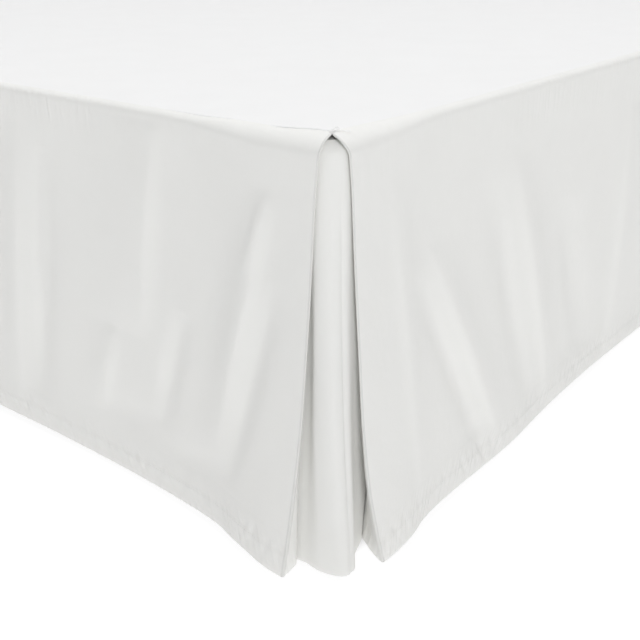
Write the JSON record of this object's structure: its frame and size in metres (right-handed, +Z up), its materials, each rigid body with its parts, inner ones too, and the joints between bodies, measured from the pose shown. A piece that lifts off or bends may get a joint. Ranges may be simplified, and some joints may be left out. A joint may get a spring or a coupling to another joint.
{
  "type": "bed skirt on a box spring bed base",
  "caption": "Tailored white bed skirt with inverted corner pleats, hanging to the floor from a deck cloth on a plain box spring base with legs.",
  "frame": {"origin": "the middle of the outline seen from above, on the floor that the legs stand on", "axes": "+Z up, -Y towards the foot of the bed, +Y towards its head, X across the bed"},
  "size_m": [1.588, 2.0708, 0.3811],
  "materials": {
    "deck_cloth": "smooth white brushed cotton blend",
    "panel_cloth": "smooth white brushed cotton blend, fine plain weave",
    "box_ticking": "plain light grey ticking",
    "legs": "plain black"
  },
  "bodies": {
    "root": {"deck": "deck_cloth", "foot_panel": "panel_cloth", "side_panel_right": "panel_cloth", "side_panel_left": "panel_cloth", "corner_pleat_right": "panel_cloth", "corner_pleat_left": "panel_cloth", "base_box": "box_ticking", "leg_foot_right": "legs", "leg_foot_left": "legs", "leg_middle_right": "legs", "leg_middle_left": "legs", "leg_head_right": "legs", "leg_head_left": "legs"}
  },
  "joints": []
}
